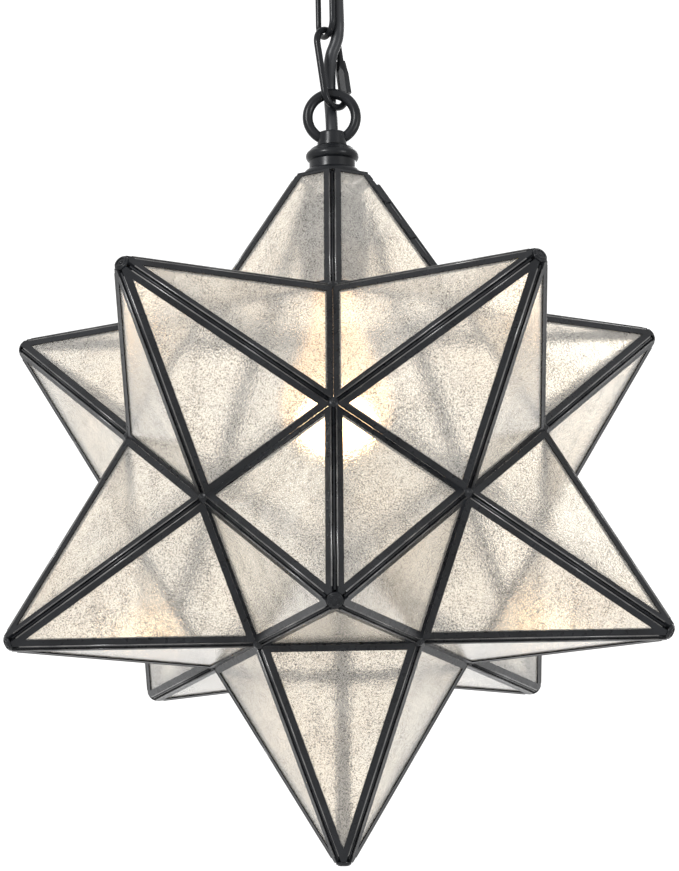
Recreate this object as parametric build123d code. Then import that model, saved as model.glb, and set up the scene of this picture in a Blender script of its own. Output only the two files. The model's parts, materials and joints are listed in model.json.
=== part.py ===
from build123d import *
import os
from math import cos, pi, radians, sin, sqrt, tan

# Moravian star pendant: a twelve-pointed glass star hung from a ceiling canopy by quick links,
# chain links and a supply cord. Millimetres, +Z up. The origin is on the ceiling plane at the
# middle of the crossbar, and the star's front point is towards -Y.

os.makedirs("parts", exist_ok=True)

# ---------------------------------------------------------------- star
core_edge = 92.5          # edge of the dodecahedron that the twelve points stand on
blunt_cut = 1.7           # how far the sharp corner would stand beyond each blunt tip
tip_cap_height = 1.2
tip_cap_radius = 4.6
tip_cap_round = 0.7
channel_face = 4.0        # width of the channel seen on a pane
channel_depth = 3.4       # thickness of the channel across a pane
channel_wall = 0.6
glass_thickness = 2.0
glass_clearance = 0.1     # between the glass and each wall of its channel
glass_edge_gap = 0.2      # between the glass edge and the floor of its channel
seam_gap = 0.02           # between two soldered channels, each side

# ---------------------------------------------------------------- top point and its door
top_apex_height = 220.0   # where the top point's edges would meet, above the star's centre
top_cut_radius = 19.638   # the top point is cut off where its corners are this far out
head_face = 1.8           # channel along a top pane's upper edge
door_head_bar = 4.0       # fixed bar over the door
door_gap = 0.3
door_head_gap = 0.6
door_foot_gap = 0.6
door_pane = 1             # which of the five panes is the door, counted from the front edge
knuckle_radius = 1.5
knuckle_count = 5
knuckle_gap = 0.4
hinge_clearance = 0.1
hinge_drop = 12.0         # from the cut down to the hinge, along the edge
hinge_foot = 24.2         # from the edge's foot up to the hinge
leaf_reach = 3.6          # width of a hinge leaf on its channel
pin_radius = 0.6
pin_clearance = 0.05
pin_head = 0.5
tab_length = 10.0
tab_height = 6.0
tab_sheet = 0.7
stop_length = 8.0
stop_sheet = 0.8
stop_reach = 3.2
stop_gap = 0.1

# ---------------------------------------------------------------- cap, neck and hanging loop
tube_radius = 6.5
tube_bore = 5.0
tube_fit = 0.05           # radial clearance of whatever the threaded tube passes through
cap_overhang = 2.862      # the cap's corners beyond those of the cut
cap_sheet = 1.2
dome_inset = 0.2          # from the middles of the cap's sides in to its dome
dome_height = 3.7
neck_radius = 14.2
neck_height = 5.1
bulge_radius = 16.2
bulge_height = 9.2
shoulder_radius = 9.4
collar_radius = 8.6
collar_height = 9.0
collar_lip = 0.5
collar_lip_height = 2.4
collar_round = 1.4
ring_radius = 14.7        # centre line of the loop's wire
ring_wire = 3.2
ring_rise = 9.6           # loop's centre above the top of its collar
loop_thread_depth = 4.4
cord_radius = 3.8
cord_clearance = 0.4
cord_flare = 2.0          # where the cord's hole opens into the ceiling loop

# ---------------------------------------------------------------- lamp holder and bulb
nut_flats = 18.0
nut_height = 4.0
cup_room = 7.793          # at its shoulder, between the cup and the middles of the panes
nut_room = 4.8            # between the nut under the cap and the one over the cup, at least
cup_radius = 20.5
cup_top_radius = 12.0
cup_shoulder = 10.0
cup_length = 58.0
cup_sheet = 1.0
tube_below_cup = 8.0
body_drop = 12.0          # insulating body below the top of the cup
body_radius = 17.0
body_length = 44.0
body_bore = 14.6
body_roof = 8.0
shell_radius = 14.3
shell_sheet = 0.6
shell_length = 26.0
contact_radius = 4.0
contact_length = 6.2
base_radius = 13.1
base_length = 24.0
base_cone = 3.5
base_tip = 1.0
base_tip_radius = 4.5
bulb_gap = 0.3            # between the centre contact and the bulb's tip
bulb_length = 135.0
bulb_radius = 33.5
bulb_neck = 12.6
bulb_wall = 1.0

# ---------------------------------------------------------------- chain and quick links
link_gap = 0.3            # between two wires that bear on each other
quick_wire = 2.1
quick_length = 49.4       # between wire centres
quick_width = 18.9
quick_opening = 8.0
sleeve_length = 20.5
sleeve_radius = 4.0
sleeve_flats = 7.2
sleeve_taper = 8.0
sleeve_top_radius = 3.0
sleeve_clearance = 0.08
chain_wire = 1.8
chain_length = 34.4
chain_width = 18.4
plane_a = -62.0           # the links' planes, turned about the vertical
plane_b = 48.0
lower_link_lean = 7.3     # the lower quick link leans, its foot towards +X
lean_clearance = 0.045    # added at its top, where it leans in the link above
ring_bearing = 3.3        # its foot is right of the loop's centre,
bearing_drop = 6.2        # and this far above it

# ---------------------------------------------------------------- ceiling fitting
crossbar_length = 104.0
crossbar_width = 16.0
crossbar_sheet = 2.5
strap_spacing = 88.9
strap_hole_radius = 2.2
earth_screw_place = 25.0
earth_screw_radius = 2.0
earth_head_radius = 3.6
earth_head_height = 2.4
canopy_radius = 63.5
canopy_depth = 22.0
canopy_rim = 5.0
canopy_flat = 20.0
canopy_sheet = 1.2
canopy_hole = 13.75
base_disc_radius = 13.0
base_disc_top = 14.0      # below the ceiling
base_disc_height = 17.0
base_thread_depth = 8.0
ceiling_ring_radius = 10.25
ceiling_ring_wire = 2.25
ceiling_ring_drop = 39.0
ring_nut_radius = 17.0
ring_nut_height = 6.0
ring_nut_fit = 0.3
ceiling_tube_length = 20.0

# ---------------------------------------------------------------- star geometry
half_turn = 180.0
fifth = 72.0
front = -90.0
ORIGIN = (0, 0, 0)
pit_radius = core_edge / (2 * sin(pi / 5))
core_height = core_edge / 2 * sqrt((25 + 11 * sqrt(5)) / 10)
golden = (1 + sqrt(5)) / 2
spike_height = sqrt((golden * core_edge) ** 2 - pit_radius**2)
tip_height = core_height + spike_height
blunt_height = tip_height - blunt_cut
ridge_half_angle = radians(31.7175)
valley_inset = channel_depth * tan(ridge_half_angle)
groove = glass_thickness + 2 * glass_clearance
edge_slope = pit_radius / (top_apex_height - core_height)
pane_slope = edge_slope * cos(pi / 5)
top_cut_height = top_apex_height - top_cut_radius / edge_slope
cap_corner_radius = top_cut_radius + cap_overhang
dome_radius = cap_corner_radius * cos(pi / 5) - dome_inset
cup_under_panes = top_apex_height - (cup_radius + cup_room) / pane_slope + cup_shoulder
cup_top_height = min(cup_under_panes, top_cut_height - 2 * nut_height - nut_room)


def around(radius, azimuth, height=0.0):
    """A point at an azimuth in degrees."""
    return Vector(radius * cos(radians(azimuth)), radius * sin(radians(azimuth)), height)


def pit(index):
    """Corner of a point's five-sided foot; corner 0 is at the front."""
    return around(pit_radius, front + fifth * index, core_height)


def pane_plane(apex, index):
    """Inner face of a pane: x along its foot, y towards the point's tip, z outwards."""
    foot = (pit(index) + pit(index + 1)) * 0.5
    along = (pit(index + 1) - pit(index)).normalized()
    up = (apex - foot).normalized()
    return Plane(foot, x_dir=along, z_dir=along.cross(up))


def inset(corners, amounts):
    """Corners of a convex outline with each side moved inwards by its amount."""
    lines = []
    for i, corner in enumerate(corners):
        start, end = Vector(*corner), Vector(*corners[(i + 1) % len(corners)])
        along = (end - start).normalized()
        inwards = Vector(-along.Y, along.X)
        lines.append((start + inwards * amounts[i], along))
    moved = []
    for i, (point, along) in enumerate(lines):
        before, before_along = lines[i - 1]
        step = (point - before).cross(along).Z / before_along.cross(along).Z
        crossing = before + before_along * step
        moved.append((crossing.X, crossing.Y))
    return moved


def slab(plane, corners, bottom, top):
    """Flat piece between two heights over a pane's plane."""
    return extrude(plane.offset(bottom) * Polygon(*corners, align=None), amount=top - bottom)


def framed_pane(plane, corners, margins, faces=(channel_face,) * 3):
    """The channel round a pane and its glass. margins are the gaps outside the channel."""
    sides = len(corners)
    outline = inset(corners, margins)
    opening = inset(outline, faces)
    floor = inset(outline, [channel_wall] * sides)
    edge = inset(outline, [channel_wall + glass_edge_gap] * sides)
    low = (channel_depth - groove) / 2
    channel = slab(plane, outline, 0, channel_depth)
    channel -= slab(plane, opening, -1, channel_depth + 1)
    channel -= slab(plane, floor, low, low + groove)
    glass = slab(plane, edge, low + glass_clearance, low + groove - glass_clearance)
    return channel, glass


def above(height):
    """Everything over a height, for cutting."""
    size = 4 * bulge_radius
    return Pos(0, 0, height) * Box(size, size, size, align=(Align.CENTER, Align.CENTER, Align.MIN))


def tube(outer, inner, bottom, top):
    ring = Cylinder(outer, top - bottom, align=(Align.CENTER, Align.CENTER, Align.MIN))
    hole = Cylinder(inner, top - bottom, align=(Align.CENTER, Align.CENTER, Align.MIN))
    return Pos(0, 0, bottom) * (ring - hole)


def rod(radius, bottom, top):
    return Pos(0, 0, bottom) * Cylinder(radius, top - bottom, align=(Align.CENTER, Align.CENTER, Align.MIN))


def turned(*outline):
    """Solid of revolution about Z from edges of an outline in the XZ plane."""
    return revolve(make_face(Plane.XZ * (Curve() + list(outline))), Axis.Z)


def hex_nut(bottom, hole):
    nut = extrude(RegularPolygon(nut_flats / 2, 6, major_radius=False), amount=nut_height)
    return Pos(0, 0, bottom) * (nut - Cylinder(hole, 4 * nut_height))


def write(name, solids, place=Location()):
    moved = [place * solid for solid in solids]
    export_step(Compound(children=moved), f"parts/{name}.step")


# ---------------------------------------------------------------- the eleven whole points
def whole_point():
    """Channels, glass and blunt cap of a point that stands up along +Z."""
    apex = Vector(0, 0, tip_height)
    shoulder = blunt_height - tip_cap_height
    channels, panes = [], []
    for index in range(5):
        plane = pane_plane(apex, index)
        slant = (apex - plane.origin).length
        corners = [(-core_edge / 2, 0), (core_edge / 2, 0), (0, slant)]
        channel, glass = framed_pane(plane, corners, [valley_inset + seam_gap, seam_gap, seam_gap])
        channels.append(channel - above(shoulder))
        panes.append(glass - above(shoulder))
    cap = rod(tip_cap_radius, shoulder, blunt_height)
    cap = fillet(cap.edges().sort_by(Axis.Z)[-1], tip_cap_round)
    return channels, panes, cap


def upper_axis(index):
    """Half-turn axis that takes the top point to an upper point."""
    tilt = Vector(0, 0, tip_height) + around(tip_height * 2 / sqrt(5), front + fifth * (index + 0.5),
                                             tip_height / sqrt(5))
    return Axis(ORIGIN, tilt)


def turn_over(solids):
    """Half turn that takes the top point to the bottom one."""
    level = Axis(ORIGIN, around(1, front + fifth / 4))
    return [solid.rotate(level, half_turn) for solid in solids]


def turn_out(solids, index):
    return [solid.rotate(upper_axis(index), half_turn) for solid in solids]


# ---------------------------------------------------------------- the top point
top_apex = Vector(0, 0, top_apex_height)
TOP_FACES = (channel_face, channel_face, head_face, channel_face)


def top_outline(index, head):
    """Outline of a top pane whose outer face stops below the cut, and a distance lower still."""
    plane = pane_plane(top_apex, index)
    slant = (top_apex - plane.origin).length
    reach = (top_cut_height - core_height - channel_depth * plane.z_dir.Z) / plane.y_dir.Z - head
    half = core_edge / 2 * (1 - reach / slant)
    return plane, [(-core_edge / 2, 0), (core_edge / 2, 0), (half, reach), (-half, reach)]


def top_point():
    """The four fixed panes and the bar over the door."""
    channels, panes = [], []
    foot = valley_inset + seam_gap
    for index in range(5):
        if index == door_pane:
            continue
        plane, corners = top_outline(index, 0)
        channel, glass = framed_pane(plane, corners, [foot, seam_gap, 0, seam_gap], TOP_FACES)
        channels.append(channel)
        panes.append(glass)
    plane, tall = top_outline(door_pane, 0)
    short = top_outline(door_pane, door_head_bar)[1]
    bar = inset([short[3], short[2], tall[2], tall[3]], [0, seam_gap, 0, seam_gap])
    channels.append(slab(plane, bar, 0, channel_depth))
    return channels, panes


def door():
    plane, corners = top_outline(door_pane, door_head_bar + door_head_gap)
    margins = [valley_inset + door_foot_gap, door_gap, 0, door_gap]
    return framed_pane(plane, corners, margins, TOP_FACES)


class HingeEdge:
    """One of the top point's edges, with the directions that its hinge is made in."""

    def __init__(self, corner):
        self.foot = pit(corner)
        self.along = (top_apex - self.foot).normalized()
        self.normals = [pane_plane(top_apex, pane).z_dir for pane in (corner - 1, corner)]
        self.out = (self.normals[0] + self.normals[1]).normalized()
        lean = sqrt(1 - self.out.dot(self.normals[0]) ** 2)
        self.offset = (knuckle_radius + hinge_clearance) / lean
        cut_length = (top_cut_height - core_height) / self.along.Z
        self.top = cut_length - hinge_drop

    def point(self, distance):
        """Point of the pin's axis at a distance up from the foot."""
        return self.foot + self.along * distance + self.out * self.offset

    def strip(self, side, start, length, low, high, bottom, top):
        """Flat strip beside the edge: low to high across the pane, bottom to top over its face."""
        normal = self.normals[side]
        across = self.along.cross(normal) * (-1 if side == 0 else 1)
        frame = Plane(self.foot + self.along * start, x_dir=across, z_dir=self.along)
        rise = 1 if frame.y_dir.dot(normal) > 0 else -1
        corners = [(low, rise * bottom), (high, rise * bottom), (high, rise * top), (low, rise * top)]
        return extrude(frame * Polygon(*corners, align=None), amount=length, dir=self.along)


hinge = HingeEdge(door_pane)
hinge_length = hinge.top - hinge_foot
knuckle_length = (hinge_length - (knuckle_count - 1) * knuckle_gap) / knuckle_count


def knuckle(number):
    """One leaf with its knuckle; odd ones are the door's."""
    side = number % 2
    start = hinge.top - hinge_length + number * (knuckle_length + knuckle_gap)
    frame = Plane(hinge.point(start), z_dir=hinge.along)
    barrel = extrude(frame * Circle(knuckle_radius), amount=knuckle_length)
    pin_line = hinge.out * hinge.offset
    rise = pin_line.dot(hinge.normals[side])
    across = -sqrt(hinge.offset**2 - rise**2)
    leaf = hinge.strip(side, start, knuckle_length, across, leaf_reach, channel_depth, rise + knuckle_radius)
    bore = extrude(frame.offset(-1) * Circle(pin_radius + pin_clearance), amount=knuckle_length + 2)
    return barrel + leaf - bore


def hinge_pin():
    start = hinge.top - hinge_length
    frame = Plane(hinge.point(start), z_dir=hinge.along)
    pin = extrude(frame * Circle(pin_radius), amount=hinge_length)
    for end in (-pin_head - hinge_clearance, hinge_length + hinge_clearance):
        pin += extrude(frame.offset(end) * Circle(2 * pin_radius), amount=pin_head)
    pin += extrude(frame.offset(-pin_head) * Circle(pin_radius), amount=hinge_length + 2 * pin_head)
    return pin


def finger_tab():
    """Bent tab on the door, beside its free edge."""
    free = HingeEdge(door_pane + 1)
    start = free.top - hinge_length / 2
    sole = free.strip(0, start, tab_length, door_gap, leaf_reach, channel_depth, channel_depth + tab_sheet)
    blade = free.strip(0, start, tab_length, door_gap, door_gap + tab_sheet, channel_depth,
                       channel_depth + tab_height)
    return sole + blade


def door_stops():
    """Angles on the next pane's channel, inside, that the closed door rests against."""
    free = HingeEdge(door_pane + 1)
    stops = []
    for start in (hinge_foot, free.top - 2 * stop_length):
        fixed = free.strip(1, start, stop_length, 0, stop_reach, -stop_sheet, 0)
        rest = free.strip(0, start, stop_length, 0, stop_reach, -stop_gap - stop_sheet, -stop_gap)
        stops.append(fixed + rest)
    return stops


# ---------------------------------------------------------------- cap, neck, loop, tube, nuts
cap_top = top_cut_height + cap_sheet
dome_top = cap_top + dome_height
neck_top = dome_top + neck_height
bulge_top = neck_top + bulge_height
collar_bottom = bulge_top
collar_top = collar_bottom + collar_height
ring_height = collar_top + ring_rise
hole_radius = tube_radius + tube_fit
cord_hole = cord_radius + cord_clearance


def spike_cap():
    corners = [around(cap_corner_radius, front + fifth * index) for index in range(5)]
    plate = extrude(Polygon(*[(c.X, c.Y) for c in corners], align=None), amount=cap_sheet)
    foot, head = (dome_radius, cap_top), (neck_radius, dome_top)
    middle = ((dome_radius + neck_radius) / 2 + cap_sheet / 2, (cap_top + dome_top) / 2 + cap_sheet / 2)
    dome = turned(
        Line((0, cap_top), foot), ThreePointArc(foot, middle, head), Line(head, (0, dome_top)),
        Line((0, dome_top), (0, cap_top)),
    )
    return Pos(0, 0, top_cut_height) * plate + dome - rod(hole_radius, top_cut_height - 1, dome_top + 1)


def neck_ring():
    """Neck with a bulging ring over it, hollow for the threaded tube."""
    foot, head = (neck_radius, dome_top), (neck_radius, neck_top)
    low = (neck_radius + 0.15 * (bulge_radius - neck_radius), neck_top)
    widest = (bulge_radius, neck_top + 0.28 * bulge_height)
    high = (neck_radius, neck_top + 0.68 * bulge_height)
    shoulder = (shoulder_radius, bulge_top)
    hollow = ((high[0] + shoulder[0]) / 2 + collar_lip, (high[1] + shoulder[1]) / 2 + collar_lip)
    solid = turned(
        Line((0, dome_top), foot), Line(foot, head), Line(head, low), ThreePointArc(low, widest, high),
        ThreePointArc(high, hollow, shoulder), Line(shoulder, (0, bulge_top)),
        Line((0, bulge_top), (0, dome_top)),
    )
    return solid - rod(hole_radius, dome_top - 1, bulge_top + 1)


def hanging_loop():
    collar = rod(collar_radius, collar_bottom, collar_top)
    collar = fillet(collar.edges().sort_by(Axis.Z)[-1], collar_round)
    collar += rod(collar_radius + collar_lip, collar_bottom + collar_lip, collar_bottom + collar_lip_height)
    ring = Pos(0, 0, ring_height) * Rot(90, 0, 0) * Torus(ring_radius, ring_wire)
    ring -= Pos(0, 0, collar_bottom) * Box(
        4 * ring_radius, 4 * ring_wire, 4 * ring_wire, align=(Align.CENTER, Align.CENTER, Align.MAX))
    loop = collar + ring
    loop -= rod(hole_radius, collar_bottom - 1, collar_bottom + loop_thread_depth)
    return loop - rod(cord_hole, collar_bottom - 1, collar_top + 1)


cup_bottom = cup_top_height - cup_length
cup_inner_top = cup_top_height - cup_sheet
tube_bottom = cup_top_height - tube_below_cup
tube_top = collar_bottom + loop_thread_depth - cord_clearance
body_top = cup_top_height - body_drop
body_bottom = body_top - body_length


def holder_cup():
    def shell(radius, top_radius, top, bottom):
        corner = (top_radius, top)
        side = (radius, top - cup_shoulder)
        bend = (top_radius + 0.75 * (radius - top_radius), top - 0.3 * cup_shoulder)
        return turned(
            Line((0, bottom), (radius, bottom)), Line((radius, bottom), side),
            ThreePointArc(side, bend, corner), Line(corner, (0, top)), Line((0, top), (0, bottom)),
        )

    outer = shell(cup_radius, cup_top_radius, cup_top_height, cup_bottom)
    inner = shell(cup_radius - cup_sheet, cup_top_radius - cup_sheet / 2, cup_inner_top, cup_bottom - 1)
    return outer - inner - rod(hole_radius, cup_inner_top - 1, cup_top_height + 1)


def holder_body():
    body = rod(body_radius, body_bottom, body_top)
    return body - rod(body_bore, body_bottom - 1, body_top - body_roof)


shell_top = body_top - body_roof - 2 * cup_sheet
contact_top = body_top - body_roof
contact_bottom = contact_top - contact_length
bulb_top = contact_bottom - bulb_gap
base_top = bulb_top - base_tip - base_cone
base_bottom = base_top - base_length
bulb_bottom = bulb_top - bulb_length
globe_height = bulb_bottom + bulb_radius


def bulb_base():
    base = rod(base_radius, base_bottom, base_top)
    cone = Pos(0, 0, base_top) * Cone(
        base_radius - 1, base_tip_radius, base_cone, align=(Align.CENTER, Align.CENTER, Align.MIN))
    hollow = rod(bulb_neck + 0.1, base_bottom - 1, base_bottom + base_length / 2)
    return base + cone + rod(base_tip_radius, base_top + base_cone, bulb_top) - hollow


def envelope(shrink):
    """Bulb shape: a globe that draws in to its neck."""
    radius, neck = bulb_radius - shrink, bulb_neck - shrink
    neck_end = base_bottom + base_length / 2 - 1 - shrink
    swell = radians(30)
    foot = (0, globe_height - radius)
    side = (radius, globe_height)
    hip = (radius * cos(swell), globe_height + radius * sin(swell))
    waist = (neck, base_bottom - 10)
    bend = (neck + 0.42 * (hip[0] - neck), hip[1] + 0.42 * (waist[1] - hip[1]))
    low = (radius * cos(swell), globe_height - radius * sin(swell))
    return turned(
        ThreePointArc(foot, low, side), ThreePointArc(side, (radius * cos(swell / 2),
        globe_height + radius * sin(swell / 2)), hip), ThreePointArc(hip, bend, waist),
        Line(waist, (neck, neck_end)), Line((neck, neck_end), (0, neck_end)), Line((0, neck_end), foot),
    )


# ---------------------------------------------------------------- links
def oval_link(length, width, wire, opening=()):
    """Link that hangs down from its top wire centre at the origin, in the XZ plane."""
    bend = width / 2
    low = bend - length
    top = sweep(Plane((bend, 0, -bend), z_dir=(0, 0, 1)) * Circle(wire),
                path=Plane.XZ * ThreePointArc((bend, -bend), (0, 0), (-bend, -bend)))
    foot = sweep(Plane((-bend, 0, low), z_dir=(0, 0, -1)) * Circle(wire),
                 path=Plane.XZ * ThreePointArc((-bend, low), (0, -length), (bend, low)))
    left = Pos(-bend, 0, 0) * rod(wire, low, -bend)
    stops = [low, *opening, -bend]
    right = [Pos(bend, 0, 0) * rod(wire, stops[i], stops[i + 1]) for i in range(0, len(stops), 2)]
    link = top + foot + left
    for leg in right:
        link += leg
    return link


def sleeve():
    """Screw sleeve of a quick link, on its right leg, with its foot at the origin."""
    straight = sleeve_length - sleeve_taper
    body = rod(sleeve_radius, 0, straight)
    taper = Pos(0, 0, straight) * Cone(
        sleeve_radius, sleeve_top_radius, sleeve_taper, align=(Align.CENTER, Align.CENTER, Align.MIN))
    hexagon = extrude(RegularPolygon(sleeve_flats / 2, 6, major_radius=False), amount=sleeve_length)
    return (body + taper) & hexagon


sleeve_foot = quick_width / 2 - quick_length
opening = (sleeve_foot + link_gap, sleeve_foot + link_gap + quick_opening)


def placed_sleeve():
    bored = sleeve() - rod(quick_wire + sleeve_clearance, -1, sleeve_length + 1)
    return Pos(quick_width / 2, 0, sleeve_foot) * bored


# ---------------------------------------------------------------- heights down the chain
ceiling_bearing = -ceiling_ring_drop - ceiling_ring_radius
upper_top = ceiling_bearing + ceiling_ring_wire + link_gap + quick_wire
upper_foot = upper_top - quick_length
second_top = upper_foot + quick_wire + link_gap + chain_wire
second_foot = second_top - chain_length
first_top = second_foot + 2 * chain_wire + link_gap
first_foot = first_top - chain_length
lower_top = first_foot + chain_wire + link_gap + quick_wire + lean_clearance
lean = radians(lower_link_lean)
lower_foot = Vector(quick_length * sin(lean), 0, lower_top - quick_length * cos(lean))
star_x = lower_foot.X - ring_bearing
star_z = lower_foot.Z - bearing_drop - ring_height
STAR = Location((star_x, 0, star_z))
UPPER_LINK = Location((0, 0, upper_top), (0, 0, 1), plane_a + half_turn)
SECOND_LINK = Location((0, 0, second_top), (0, 0, 1), plane_b)
FIRST_LINK = Location((0, 0, first_top), (0, 0, 1), plane_a)
LOWER_LINK = Pos(0, 0, lower_top) * Rot(0, -lower_link_lean, 0) * Rot(0, 0, plane_b)


# ---------------------------------------------------------------- ceiling fitting
def crossbar():
    bar = Box(crossbar_length, crossbar_width, crossbar_sheet, align=(Align.CENTER, Align.CENTER, Align.MAX))
    bar -= Cylinder(hole_radius, 4 * crossbar_sheet)
    for side in (-1, 1):
        bar -= Pos(side * strap_spacing / 2, 0, 0) * Cylinder(strap_hole_radius, 4 * crossbar_sheet)
    return bar - Pos(earth_screw_place, 0, 0) * Cylinder(earth_screw_radius + tube_fit, 4 * crossbar_sheet)


def earth_screw():
    shank = rod(earth_screw_radius, -crossbar_sheet, 0)
    head = rod(earth_head_radius, -crossbar_sheet - earth_head_height, -crossbar_sheet)
    slot = Pos(0, 0, -crossbar_sheet - earth_head_height) * Box(3 * earth_head_radius, 0.8, 1.6)
    return Pos(earth_screw_place, 0, 0) * (shank + head - slot)


def canopy():
    def dish(radius, flat, depth, top):
        corner, foot = (radius, -canopy_rim), (flat, -depth)
        bulge = (flat + 0.66 * (radius - flat), -canopy_rim - 0.68 * (depth - canopy_rim))
        return turned(
            Line((0, top), (radius, top)), Line((radius, top), corner), ThreePointArc(corner, bulge, foot),
            Line(foot, (0, -depth)), Line((0, -depth), (0, top)),
        )

    outer = dish(canopy_radius, canopy_flat, canopy_depth, 0)
    inner = dish(canopy_radius - canopy_sheet, canopy_flat - canopy_sheet / 2, canopy_depth - canopy_sheet, 1)
    return outer - inner - rod(canopy_hole, -canopy_depth - 1, 1)


base_disc_bottom = -base_disc_top - base_disc_height


def canopy_loop():
    """Threaded base with the ceiling loop under it, in the plane of the even links."""
    base = rod(base_disc_radius, base_disc_bottom, -base_disc_top)
    ring = Pos(0, 0, -ceiling_ring_drop) * Rot(90, 0, 0) * Torus(ceiling_ring_radius, ceiling_ring_wire)
    ring = Rot(0, 0, plane_b) * ring
    loop = base + ring
    loop -= rod(hole_radius, -base_disc_top - base_thread_depth, -base_disc_top + 1)
    loop -= Pos(0, 0, base_disc_bottom) * Cone(cord_hole + cord_flare, cord_hole, 2 * cord_flare)
    return loop - rod(cord_hole, base_disc_bottom - 1, -base_disc_top + 1)


def ring_nut():
    top = -canopy_depth
    return tube(ring_nut_radius, base_disc_radius + ring_nut_fit, top - ring_nut_height, top)


# ---------------------------------------------------------------- supply cord
cord_end = star_z + body_top
cord_route = [
    (0, 0, 0),
    (0, 0, -34),
    (9.85, 0, -45.4),
    (8.9, -1.4, -80),
    (7.2, -0.35, -112),
    (7.85, -2.2, -149.4),
    (7, 0.2, -157.2),
    (1.85, 0.4, -168.8),
    (1.8, 11.4, -191.7),
    (star_x, 0, -208.6),
    (star_x, 0, cord_end),
]


def bend_radii(route):
    """Radius at each inner point: 0.45 of the shorter run, over the tangent of half the turn."""
    points = [Vector(*p) for p in route]
    radii = []
    for before, here, after in zip(points, points[1:], points[2:]):
        first, second = here - before, after - here
        turn = radians(first.get_angle(second))
        radii.append(0.45 * min(first.length, second.length) / tan(turn / 2))
    return radii


def power_cord():
    radii = bend_radii(cord_route)
    path = FilletPolyline(*cord_route, radius=radii)
    cord = sweep(Plane(cord_route[0], z_dir=(0, 0, -1)) * Circle(cord_radius), path=path)
    length = path.length
    print("cord bend radii, mm:", [round(r, 1) for r in radii])
    print("cord length, mm:", round(length, 1), "volume over section x length:",
          round(cord.volume / (pi * cord_radius**2 * length), 4))
    return cord


# ---------------------------------------------------------------- parts
channels, panes, cap = whole_point()
caps = [*turn_over([cap])]
write("channel_bottom", turn_over(channels), STAR)
write("glass_bottom", turn_over(panes), STAR)
for index in range(5):
    write(f"channel_upper_{index + 1}", turn_out(channels, index), STAR)
    write(f"glass_upper_{index + 1}", turn_out(panes, index), STAR)
    write(f"channel_lower_{index + 1}", turn_over(turn_out(channels, -index % 5)), STAR)
    write(f"glass_lower_{index + 1}", turn_over(turn_out(panes, -index % 5)), STAR)
    caps += turn_out([cap], index) + turn_over(turn_out([cap], index))
write("tip_caps", caps, STAR)

top_channels, top_panes = top_point()
door_channel, door_glass = door()
write("channel_top", top_channels, STAR)
write("glass_top", top_panes, STAR)
write("door_channel", [door_channel], STAR)
write("door_glass", [door_glass], STAR)
write("hinge_leaves", [knuckle(number) for number in range(0, knuckle_count, 2)], STAR)
write("door_hinge_leaves", [knuckle(number) for number in range(1, knuckle_count, 2)], STAR)
write("hinge_pin", [hinge_pin()], STAR)
write("door_tab", [finger_tab()], STAR)
write("door_stops", door_stops(), STAR)

write("spike_cap", [spike_cap()], STAR)
write("neck_ring", [neck_ring()], STAR)
write("hanging_loop", [hanging_loop()], STAR)
write("threaded_tube", [tube(tube_radius, tube_bore, tube_bottom, tube_top)], STAR)
nut_heights = (top_cut_height - nut_height, cup_top_height, cup_inner_top - nut_height)
write("lock_nuts", [hex_nut(height, hole_radius) for height in nut_heights], STAR)
write("holder_cup", [holder_cup()], STAR)
write("holder_body", [holder_body()], STAR)
write("screw_shell", [tube(shell_radius, shell_radius - shell_sheet, shell_top - shell_length, shell_top)], STAR)
write("centre_contact", [rod(contact_radius, contact_bottom, contact_top)], STAR)
write("bulb_base", [bulb_base()], STAR)
write("bulb_glass", [envelope(0) - envelope(bulb_wall)], STAR)

quick_link = oval_link(quick_length, quick_width, quick_wire, opening)
chain_link = oval_link(chain_length, chain_width, chain_wire)
write("lower_quick_link", [quick_link], LOWER_LINK)
write("lower_link_sleeve", [placed_sleeve()], LOWER_LINK)
write("chain_link_1", [chain_link], FIRST_LINK)
write("chain_link_2", [chain_link], SECOND_LINK)
write("upper_quick_link", [quick_link], UPPER_LINK)
write("upper_link_sleeve", [placed_sleeve()], UPPER_LINK)

write("crossbar", [crossbar()])
write("earth_screw", [earth_screw()])
write("crossbar_nut", [hex_nut(-crossbar_sheet - nut_height, hole_radius)])
write("ceiling_tube", [tube(tube_radius, tube_bore, -ceiling_tube_length, 0)])
write("canopy_loop", [canopy_loop()])
write("canopy", [canopy()])
write("canopy_ring_nut", [ring_nut()])
write("power_cord", [power_cord()])

print("star centre:", round(star_x, 3), round(star_z, 3))
for name, height in (("ceiling_bearing", ceiling_bearing), ("upper_foot", upper_foot),
                     ("second_foot", second_foot), ("first_foot", first_foot)):
    print(name, round(height, 3))
print("lower_foot", [round(v, 3) for v in lower_foot])
print("hinge", [round(v, 3) for v in hinge.point(0)], [round(v, 5) for v in hinge.along])
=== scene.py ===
import bmesh
import bpy
import json
from math import atan, cos, pi, radians, sin, sqrt
from mathutils import Matrix, Vector


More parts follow.
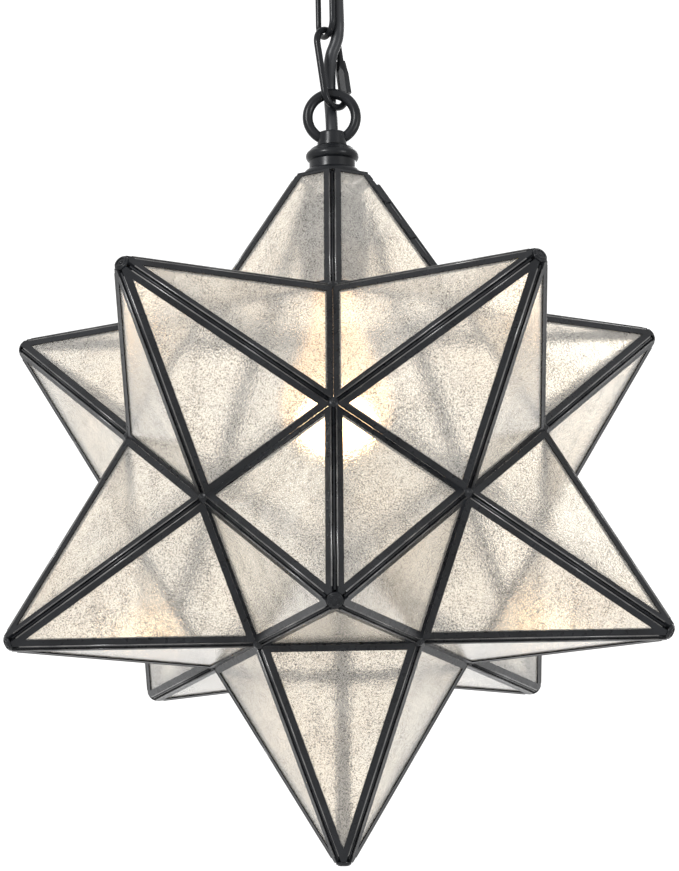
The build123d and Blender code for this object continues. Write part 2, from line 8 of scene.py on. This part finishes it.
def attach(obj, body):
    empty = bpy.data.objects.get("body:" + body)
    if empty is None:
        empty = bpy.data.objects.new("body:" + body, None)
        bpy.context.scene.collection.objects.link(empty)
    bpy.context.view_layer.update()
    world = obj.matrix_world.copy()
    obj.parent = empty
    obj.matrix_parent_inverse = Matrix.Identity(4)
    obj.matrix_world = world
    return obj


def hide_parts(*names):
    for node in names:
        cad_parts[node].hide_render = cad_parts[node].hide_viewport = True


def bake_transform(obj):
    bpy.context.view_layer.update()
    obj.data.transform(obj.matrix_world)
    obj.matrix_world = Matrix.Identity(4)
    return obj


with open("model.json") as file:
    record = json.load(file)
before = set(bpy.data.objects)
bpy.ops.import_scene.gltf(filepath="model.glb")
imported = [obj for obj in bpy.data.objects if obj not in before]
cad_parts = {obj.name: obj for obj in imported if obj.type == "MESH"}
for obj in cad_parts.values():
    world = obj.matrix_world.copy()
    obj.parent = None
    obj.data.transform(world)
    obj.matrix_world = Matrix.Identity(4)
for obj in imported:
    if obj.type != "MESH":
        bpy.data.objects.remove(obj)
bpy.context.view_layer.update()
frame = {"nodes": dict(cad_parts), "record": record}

# Sizes and places are in millimetres, and a mesh takes them times MM, in metres.
MM = 0.001
STAR_CENTRE = Vector((2.977, 0, -434.254))


# ---------------------------------------------------------------- materials
def material(name, **values):
    """Principled material; values are socket names with underscores for spaces."""
    made = bpy.data.materials.new(name)
    made.use_nodes = True
    shader = made.node_tree.nodes["Principled BSDF"]
    for key, value in values.items():
        shader.inputs[key.replace("_", " ")].default_value = value
    return made


class Nodes:
    """Short names for adding shader nodes to a material."""

    def __init__(self, made):
        self.tree = made.node_tree
        self.shader = self.tree.nodes["Principled BSDF"]
        self.coordinates = self.tree.nodes.new("ShaderNodeTexCoord").outputs["Object"]

    def link(self, start, end):
        self.tree.links.new(start, end)

    def fill(self, sockets, values):
        """Each socket takes its value, which is a number, a colour or another node's output."""
        for socket, value in zip(sockets, values):
            if hasattr(value, "is_linked"):
                self.link(value, socket)
            else:
                socket.default_value = value

    def stretched(self, scale, turn):
        node = self.tree.nodes.new("ShaderNodeMapping")
        node.inputs["Scale"].default_value = scale
        node.inputs["Rotation"].default_value = turn
        self.link(self.coordinates, node.inputs["Vector"])
        return node.outputs["Vector"]

    def noise(self, scale, detail, rough=0.5, vector=None):
        node = self.tree.nodes.new("ShaderNodeTexNoise")
        node.inputs["Scale"].default_value = scale
        node.inputs["Detail"].default_value = detail
        node.inputs["Roughness"].default_value = rough
        self.link(vector or self.coordinates, node.inputs["Vector"])
        return node.outputs["Fac"]

    def cells(self, scale):
        node = self.tree.nodes.new("ShaderNodeTexVoronoi")
        node.inputs["Scale"].default_value = scale
        self.link(self.coordinates, node.inputs["Vector"])
        return node.outputs["Distance"]

    def ramp(self, value, *stops):
        """Stops are pairs of a place and a grey or a colour."""
        node = self.tree.nodes.new("ShaderNodeValToRGB")
        elements = node.color_ramp.elements
        while len(elements) < len(stops):
            elements.new(0.5)
        for element, (place, colour) in zip(elements, stops):
            element.position = place
            element.color = (*colour, 1) if isinstance(colour, tuple) else (colour, colour, colour, 1)
        self.link(value, node.inputs["Fac"])
        return node.outputs["Color"]

    def mix(self, amount, first, second):
        """A blend of two colours: the factor and the colours are the node's inputs 0, 6 and 7."""
        node = self.tree.nodes.new("ShaderNodeMix")
        node.data_type = "RGBA"
        self.fill((node.inputs[0], node.inputs[6], node.inputs[7]), (amount, first, second))
        return node.outputs[2]

    def maths(self, kind, first, second):
        node = self.tree.nodes.new("ShaderNodeMath")
        node.operation = kind
        self.fill(node.inputs, (first, second))
        return node.outputs[0]

    def bump(self, height, strength, distance):
        node = self.tree.nodes.new("ShaderNodeBump")
        node.inputs["Strength"].default_value = strength
        node.inputs["Distance"].default_value = distance
        self.link(height, node.inputs["Height"])
        self.link(node.outputs["Normal"], self.shader.inputs["Normal"])


def black_metal():
    """Satin black paint with a faint grain."""
    made = material("black metal", Specular_IOR_Level=0.16)
    n = Nodes(made)
    tone = n.ramp(
        n.noise(scale=60, detail=4), (0.35, (0.0042, 0.0046, 0.0055)), (0.7, (0.009, 0.0098, 0.0115)))
    n.link(tone, n.shader.inputs["Base Color"])
    sheen = n.ramp(n.noise(scale=220, detail=3), (0.3, 0.24), (0.75, 0.38))
    n.link(sheen, n.shader.inputs["Roughness"])
    n.bump(n.noise(scale=1500, detail=2), strength=0.12, distance=0.0002)
    return made


def edge_highlight_paint():
    """The same paint, lighter in colour and glossier: a painted highlight along the channels' rolled edges.
    """
    made = material("painted highlight edge", Roughness=0.24, Specular_IOR_Level=0.75)
    n = Nodes(made)
    # a lighter tone than the black metal: painted highlight, so the edges read as thin light lines
    tone = n.ramp(n.noise(scale=90, detail=4), (0.35, (0.022, 0.022, 0.023)), (0.7, (0.075, 0.073, 0.070)))
    n.link(tone, n.shader.inputs["Base Color"])
    return made


def seeded_glass():
    """Clear glass, faintly cream, with a finely pebbled face, short streaks and dark seeds in drifts."""
    made = material("seeded glass", Roughness=0.0, IOR=1.46, Transmission_Weight=0.86)
    n = Nodes(made)
    pebbles = n.maths("MULTIPLY", n.cells(scale=640), 0.6)
    ripples = n.noise(scale=760, detail=3, rough=0.65)
    streak_grain = n.stretched(scale=(3.2, 3.2, 0.7), turn=(0.5, 0.3, 0.2))
    streaks = n.maths("MULTIPLY", n.noise(scale=150, detail=4, rough=0.7, vector=streak_grain), 0.4)
    height = n.maths("ADD", pebbles, n.maths("ADD", ripples, streaks))
    n.bump(height, strength=0.6, distance=0.0001)
    drift_grain = n.stretched(scale=(2.6, 2.6, 0.8), turn=(0.5, 0.35, 0.2))
    drifts = n.noise(scale=22, detail=4, rough=0.65, vector=drift_grain)
    crowding = n.maths("MULTIPLY", n.maths("SUBTRACT", drifts, 0.5), 0.17)
    specks = n.maths("ADD", n.noise(scale=1080, detail=3, rough=0.8), crowding)
    seeds = n.ramp(specks, (0.39, 0.0), (0.45, 0.8), (0.50, 1.0))
    patches = n.ramp(n.noise(scale=14, detail=3), (0.42, 0.0), (0.66, 1.0))
    clear = n.mix(patches, (1.0, 0.963, 0.892, 1), (1.0, 0.938, 0.842, 1))
    n.link(n.mix(seeds, (0.16, 0.14, 0.12, 1), clear), n.shader.inputs["Base Color"])
    return made


def bulb_glass():
    """Lightly frosted glass that glows a little."""
    return material(
        "bulb glass", Base_Color=(1.0, 0.97, 0.93, 1), Roughness=0.16, Transmission_Weight=1.0, IOR=1.46,
        Emission_Color=(1.0, 0.6, 0.3, 1), Emission_Strength=0.22)


def warm_light():
    """The lit part of the bulb, far brighter than its glass."""
    return material(
        "bulb light", Base_Color=(0.9, 0.85, 0.8, 1), Roughness=0.5,
        Emission_Color=(1.0, 0.72, 0.42, 1), Emission_Strength=35.0)


MATERIALS = {
    "black_metal": black_metal(),
    "seeded_glass": seeded_glass(),
    "bulb_glass": bulb_glass(),
    "bulb_cap": material("bulb cap", Base_Color=(0.72, 0.72, 0.73, 1), Metallic=1.0, Roughness=0.3),
    "brass": material("brass", Base_Color=(0.72, 0.54, 0.27, 1), Metallic=1.0, Roughness=0.28),
    "cord": material("cord", Base_Color=(0.009, 0.010, 0.012, 1), Roughness=0.42, Specular_IOR_Level=0.3),
    "insulator": material("insulator", Base_Color=(0.05, 0.05, 0.052, 1), Roughness=0.55),
    "zinc_steel": material("zinc steel", Base_Color=(0.62, 0.63, 0.64, 1), Metallic=1.0, Roughness=0.33),
    "earth_screw": material("earth screw", Base_Color=(0.05, 0.30, 0.10, 1), Metallic=0.6, Roughness=0.35),
}


def paint_nodes():
    """Each solid of the frame gets the material of its slot."""
    for part in frame["record"]["subparts"]:
        data = frame["nodes"][part["node"]].data
        data.materials.clear()
        data.materials.append(MATERIALS[part["material_slot"]])


# ---------------------------------------------------------------- pieces
def piece(name, mesh, smooth=True):
    """The mesh as an object at the origin."""
    obj = bpy.data.objects.new(name, mesh)
    bpy.context.scene.collection.objects.link(obj)
    for face in mesh.polygons:
        face.use_smooth = smooth
    return obj


def from_bmesh(name, made):
    """A piece of the finished bmesh, with its faces turned outwards."""
    mesh = bpy.data.meshes.new(name)
    bmesh.ops.recalc_face_normals(made, faces=made.faces[:])
    made.to_mesh(mesh)
    made.free()
    return piece(name, mesh)


def finished(obj, finish, body):
    """The piece with its material, which moves with a body."""
    obj.data.materials.append(finish)
    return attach(obj, body)


def turned_to(direction):
    """Matrix that turns +Z to the direction."""
    return direction.to_track_quat("Z", "Y").to_matrix().to_4x4()


def ball(made, place, radius, half_height, segments, rings):
    """A ball, flattened along the Z of its place."""
    squashed = Matrix.Diagonal((radius * MM, radius * MM, half_height * MM, 1))
    bmesh.ops.create_uvsphere(
        made, u_segments=segments, v_segments=rings, radius=1, matrix=place @ squashed)


# ---------------------------------------------------------------- supply cord
CORD_RADIUS = 3.8
CORD_SIDES = 24
STEPS_PER_RUN = 14
# the points that the cord's smooth line is drawn to
CORD_ROUTE = [
    (0, 0, 0),
    (0, 0, -19),
    (0, 0, -34),
    (9.85, 0, -45.4),
    (9.4, -0.6, -60.5),
    (8.9, -1.4, -80),
    (7.2, -0.35, -112),
    (7.7, -1.8, -141.2),
    (7.85, -2.2, -149.4),
    (7, 0.2, -157.2),
    (1.85, 0.4, -168.8),
    (1.8, 11.4, -191.7),
    (2.977, 0, -208.6),
    (2.977, 0, -229),
    (2.977, 0, -268.255),
]
# each stretch of the cord: the two bodies that it joins, its top and bottom,
# and the heights between which it passes from the first body to the second
CORD_STRETCHES = [
    ("ceiling_fitting", "upper_quick_link", 0, -70, -41, -60),
    ("upper_quick_link", "second_chain_link", -70, -109, -84, -103),
    ("second_chain_link", "first_chain_link", -109, -139.5, -116, -133),
    ("first_chain_link", "lower_quick_link", -139.5, -177, -146, -165),
    ("lower_quick_link", "star", -177, -268.255, -188, -212),
]


def smooth_line(route):
    """Points along the smooth curve that is drawn to the route's points."""
    curve = bpy.data.curves.new("route", "CURVE")
    curve.dimensions = "3D"
    spline = curve.splines.new("NURBS")
    spline.points.add(len(route) - 1)
    for point, place in zip(spline.points, route):
        point.co = (*place, 1)
    spline.order_u = 3
    spline.use_endpoint_u = True
    spline.resolution_u = STEPS_PER_RUN
    holder = bpy.data.objects.new("route", curve)
    line = bpy.data.meshes.new_from_object(holder)
    points = [vertex.co.copy() for vertex in line.vertices]
    bpy.data.objects.remove(holder)
    bpy.data.curves.remove(curve)
    bpy.data.meshes.remove(line)
    return points


def directed(path):
    """The path's points, each with the path's direction there."""
    last = len(path) - 1
    pairs = []
    for i, point in enumerate(path):
        pairs.append((point, (path[min(i + 1, last)] - path[max(i - 1, 0)]).normalized()))
    return pairs


def cut_path(path, top, bottom):
    """The part of a falling path between two heights, with its ends exactly there."""
    cut = []
    for (here, along), (there, next_along) in zip(path, path[1:]):
        for level in (top, bottom):
            starts_here = here is path[0][0] and here.z == level
            if here.z > level >= there.z or starts_here:
                t = (here.z - level) / (here.z - there.z)
                cut.append((here + (there - here) * t, (along + (next_along - along) * t).normalized()))
        if top > there.z > bottom:
            cut.append((there, next_along))
    return cut


def cord_stretch(name, path):
    """Closed tube round a path. Its end ring is the next stretch's first, normals too, so no seam shows."""
    made = bmesh.new()
    rings, normals = [], []
    for point, along in path:
        side = Vector((0, 1, 0)).cross(along).normalized()
        other = along.cross(side)
        ring = []
        for j in range(CORD_SIDES):
            angle = 2 * pi * j / CORD_SIDES
            normals.append(side * cos(angle) + other * sin(angle))
            ring.append(made.verts.new((point + normals[-1] * CORD_RADIUS) * MM))
        rings.append(ring)
    for low, high in zip(rings, rings[1:]):
        for j in range(CORD_SIDES):
            k = (j + 1) % CORD_SIDES
            made.faces.new((low[j], low[k], high[k], high[j]))
    made.faces.new(rings[0])
    made.faces.new(rings[-1])
    obj = from_bmesh(name, made)
    obj.data.normals_split_custom_set_from_vertices(normals)
    return obj


def power_cord():
    """The cord as a tube in stretches, cut at each stretch's top and bottom, in place of the CAD cord."""
    path = directed(smooth_line(CORD_ROUTE))
    for i, (first, second, top, bottom, start, end) in enumerate(CORD_STRETCHES):
        obj = cord_stretch(f"cord_{i + 1}", cut_path(path, top, bottom))
        obj.data.materials.append(MATERIALS["cord"])
        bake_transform(obj)
        if i == 0:
            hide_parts("power_cord")


# ---------------------------------------------------------------- corners of the star, from its centre
GOLDEN = (1 + sqrt(5)) / 2
CORE_EDGE = 92.5
# from a point's axis to the five corners of its foot, which are the pits between points
PIT_RADIUS = CORE_EDGE / (2 * sin(pi / 5))
CORE_HEIGHT = CORE_EDGE / 2 * sqrt((25 + 11 * sqrt(5)) / 10)
TIP_HEIGHT = CORE_HEIGHT + sqrt((GOLDEN * CORE_EDGE) ** 2 - PIT_RADIUS**2)
BLUNT_HEIGHT = TIP_HEIGHT - 1.7
# the top point's ridges aim lower than a whole point's, and stop where the point is cut off
TOP_APEX_HEIGHT = 220.0
TOP_CUT_HEIGHT = 190.8
# the top point's two ridges beside the door, by number
DOOR_EDGES = (1, 2)
# from a ridge's outward direction to the normal of the pane on either side of it
NORMAL_TILT = atan(1 / GOLDEN)
# azimuths, and a fifth of a turn, in degrees
FRONT, BACK, FIFTH = -90, 90, 72
UP = Vector((0, 0, 1))


def around(radius, azimuth, height):
    """A place round the star's upright axis, with its azimuth in degrees."""
    return Vector((radius * cos(radians(azimuth)), radius * sin(radians(azimuth)), height))


def top_corner(k):
    """A corner of the top point's foot, by number, counted from the front one."""
    return around(PIT_RADIUS, FRONT + FIFTH * k, CORE_HEIGHT)


def core_corners():
    """The twenty corners that the points' feet meet in."""
    low_height = CORE_HEIGHT - CORE_EDGE * sqrt((5 + sqrt(5)) / 10)
    corners = []
    for k in range(5):
        corners += [top_corner(k), around(GOLDEN * PIT_RADIUS, FRONT + FIFTH * k, low_height)]
    return corners + [-corner for corner in corners]


def point_axes():
    """Directions of the eleven whole points."""
    low_tilt = TIP_HEIGHT / sqrt(5)
    axes = [around(2 * low_tilt, BACK + FIFTH * k, low_tilt).normalized() for k in range(5)]
    return axes + [-axis for axis in axes] + [-UP]


def on_star(spot, direction):
    """Matrix that puts a shape on a spot of the star, its Z along the direction."""
    return Matrix.Translation((spot + STAR_CENTRE) * MM) @ turned_to(direction)


# ---------------------------------------------------------------- solder
# lift over the corner, radius and half height: the flat bead in a pit, and the small dome on it
PIT_BEADS = ((3.0, 3.5, 1.9), (4.2, 1.5, 1.3))
ROD_SIDES = 12
TIP_RING_RADIUS = 3.1
TIP_RING_WIRE = 0.55
TIP_RING_SIDES = 36
TIP_DOME_RADIUS = 1.3


def solder_beads():
    """In each pit, where the channels of three points meet, a flat bead with a small dome on it."""
    made = bmesh.new()
    for corner in core_corners():
        out = corner.normalized()
        for lift, radius, half_height in PIT_BEADS:
            ball(made, on_star(corner + out * lift, out), radius, half_height, segments=24, rings=14)
    finished(from_bmesh("solder_beads", made), MATERIALS["black_metal"], "star")


def tip_rings():
    """On each blunt tip, a ring of solder with a small dome in it."""
    made = bmesh.new()
    wire_place = Matrix.Translation((TIP_RING_RADIUS * MM, 0, 0)) @ Matrix.Rotation(pi / 2, 4, "X")
    for axis in point_axes():
        place = on_star(axis * BLUNT_HEIGHT, axis)
        wire = bmesh.ops.create_circle(
            made, segments=ROD_SIDES, radius=TIP_RING_WIRE * MM, matrix=place @ wire_place)["verts"]
        section = wire + list(dict.fromkeys(edge for vert in wire for edge in vert.link_edges))
        bmesh.ops.spin(
            made, geom=section, cent=place.translation, axis=axis, angle=2 * pi,
            steps=TIP_RING_SIDES, use_merge=True)
        ball(made, place, TIP_DOME_RADIUS, TIP_DOME_RADIUS / 2, segments=16, rings=10)
    finished(from_bmesh("tip_rings", made), MATERIALS["black_metal"], "star")


# ---------------------------------------------------------------- ridges
CHANNEL_DEPTH = 3.4
RUN_RADIUS = 0.9
ROLL_RADIUS = 0.45
# how far up a ridge the solder and the rolled edges start, and how much of its top the solder leaves out
RUN_START = 2
ROLL_START = 4
TIP_MARGIN = 9
CAP_MARGIN = 6


def rod(made, start, along, length, radius):
    """A round rod on the star."""
    bmesh.ops.create_cone(
        made, cap_ends=True, segments=ROD_SIDES, radius1=radius * MM, radius2=radius * MM,
        depth=length * MM, matrix=on_star(start + along * (length / 2), along))


def ridge(runs, rolls, foot, tip, axis, length):
    """Solder in the groove between two channels, and the channels' rolled edges on both sides of it."""
    along = (tip - foot).normalized()
    out = (foot - axis * foot.dot(axis)).normalized()
    out = (out - along * out.dot(along)).normalized()
    side = along.cross(out)
    rod(runs, foot + out * (RUN_RADIUS / sin(NORMAL_TILT)) + along * RUN_START, along, length, RUN_RADIUS)
    for hand in (-1, 1):
        pane_normal = out * cos(NORMAL_TILT) + side * hand * sin(NORMAL_TILT)
        start = foot + pane_normal * (CHANNEL_DEPTH - ROLL_RADIUS / 3) + along * ROLL_START
        rod(rolls, start, along, length - ROLL_START, ROLL_RADIUS)


def ridges():
    """The ridges of the eleven whole points, and the top point's three ridges between fixed panes."""
    corners = core_corners()
    runs, rolls = bmesh.new(), bmesh.new()
    for axis in point_axes():
        tip = axis * TIP_HEIGHT
        for foot in sorted(corners, key=lambda corner: -corner.dot(axis))[:5]:
            ridge(runs, rolls, foot, tip, axis, (tip - foot).length - TIP_MARGIN)
    apex = UP * TOP_APEX_HEIGHT
    kept_share = (TOP_CUT_HEIGHT - CORE_HEIGHT) / (TOP_APEX_HEIGHT - CORE_HEIGHT)
    for k in range(5):
        if k not in DOOR_EDGES:
            foot = top_corner(k)
            ridge(runs, rolls, foot, apex, UP, (apex - foot).length * kept_share - CAP_MARGIN)
    finished(from_bmesh("solder_runs", runs), MATERIALS["black_metal"], "star")
    # the rolled edges take the lighter paint, a painted highlight along each ridge
    finished(from_bmesh("rolled_edges", rolls), edge_highlight_paint(), "star")


# ---------------------------------------------------------------- lit bulb
GLOW_HEIGHT = 38
GLOW_RADIUS = 23
GLOW_HALF_HEIGHT = 17


def bulb_light():
    """The lit part inside the bulb, a flattened ball over the star's centre."""
    made = bmesh.new()
    ball(made, on_star(UP * GLOW_HEIGHT, UP), GLOW_RADIUS, GLOW_HALF_HEIGHT, segments=32, rings=20)
    finished(from_bmesh("bulb_light", made), warm_light(), "light_bulb")


paint_nodes()
power_cord()
solder_beads()
ridges()
tip_rings()
bulb_light()

# ---------------------------------------------------------------- stage, in metres
FLOOR_DROP = 1.9
FLOOR_HALF = 6
STUDIO_STRENGTH = 1.2

floor_bmesh = bmesh.new()
bmesh.ops.create_grid(floor_bmesh, x_segments=1, y_segments=1, size=FLOOR_HALF)
floor_mesh = bpy.data.meshes.new("floor")
floor_bmesh.to_mesh(floor_mesh)
floor_bmesh.free()
floor = piece("floor", floor_mesh, smooth=False)
floor.location = (0, 0, -FLOOR_DROP)
floor.data.materials.append(material("floor", Base_Color=(0.86, 0.86, 0.86, 1), Roughness=0.8))

world = bpy.data.worlds.new("studio")
world.use_nodes = True
backdrop = world.node_tree.nodes["Background"]
backdrop.inputs["Color"].default_value = (1.0, 1.0, 1.0, 1)
backdrop.inputs["Strength"].default_value = STUDIO_STRENGTH
bpy.context.scene.world = world
bpy.context.scene.view_settings.view_transform = "Standard"


def area_light(name, place, size, power):
    """A square lamp that points at the star."""
    data = bpy.data.lights.new(name, "AREA")
    data.size = size
    data.energy = power
    light = bpy.data.objects.new(name, data)
    bpy.context.scene.collection.objects.link(light)
    light.location = place
    light.rotation_euler = (STAR_CENTRE * MM - Vector(place)).to_track_quat("-Z", "Y").to_euler()


area_light("key", (-1.6, -2.2, 0.6), size=0.5, power=80)
area_light("fill", (2.0, -1.8, -0.3), size=0.6, power=30)
area_light("rim", (0.8, 2.2, 0.6), size=1.2, power=20)

# ---------------------------------------------------------------- camera
IMAGE_HEIGHT = 871
FOCAL_PIXELS = 4844.6
SENSOR = 36
DISTANCE = 2915.336
PLACE_AZIMUTH, PLACE_ELEVATION = radians(0.7138), radians(-10.3066)
VIEW_AZIMUTH, VIEW_ELEVATION, ROLL = radians(0.683), radians(-10.898), radians(-0.9225)


def towards_viewer(azimuth, elevation):
    """Unit direction, with azimuth 0 at the front."""
    return Vector((sin(azimuth) * cos(elevation), -cos(azimuth) * cos(elevation), sin(elevation)))


camera_data = bpy.data.cameras.new("camera")
camera_data.sensor_width = SENSOR
camera_data.lens = FOCAL_PIXELS * SENSOR / IMAGE_HEIGHT
camera_data.clip_end = 50
camera = bpy.data.objects.new("camera", camera_data)
bpy.context.scene.collection.objects.link(camera)
back = towards_viewer(VIEW_AZIMUTH, VIEW_ELEVATION)
right = UP.cross(back).normalized()
above = back.cross(right)
rolled_right = right * cos(ROLL) + above * sin(ROLL)
rolled_above = above * cos(ROLL) - right * sin(ROLL)
rotation = Matrix((rolled_right, rolled_above, back)).transposed()
place = (STAR_CENTRE + towards_viewer(PLACE_AZIMUTH, PLACE_ELEVATION) * DISTANCE) * MM
camera.matrix_world = Matrix.Translation(place) @ rotation.to_4x4()
bpy.context.scene.camera = camera
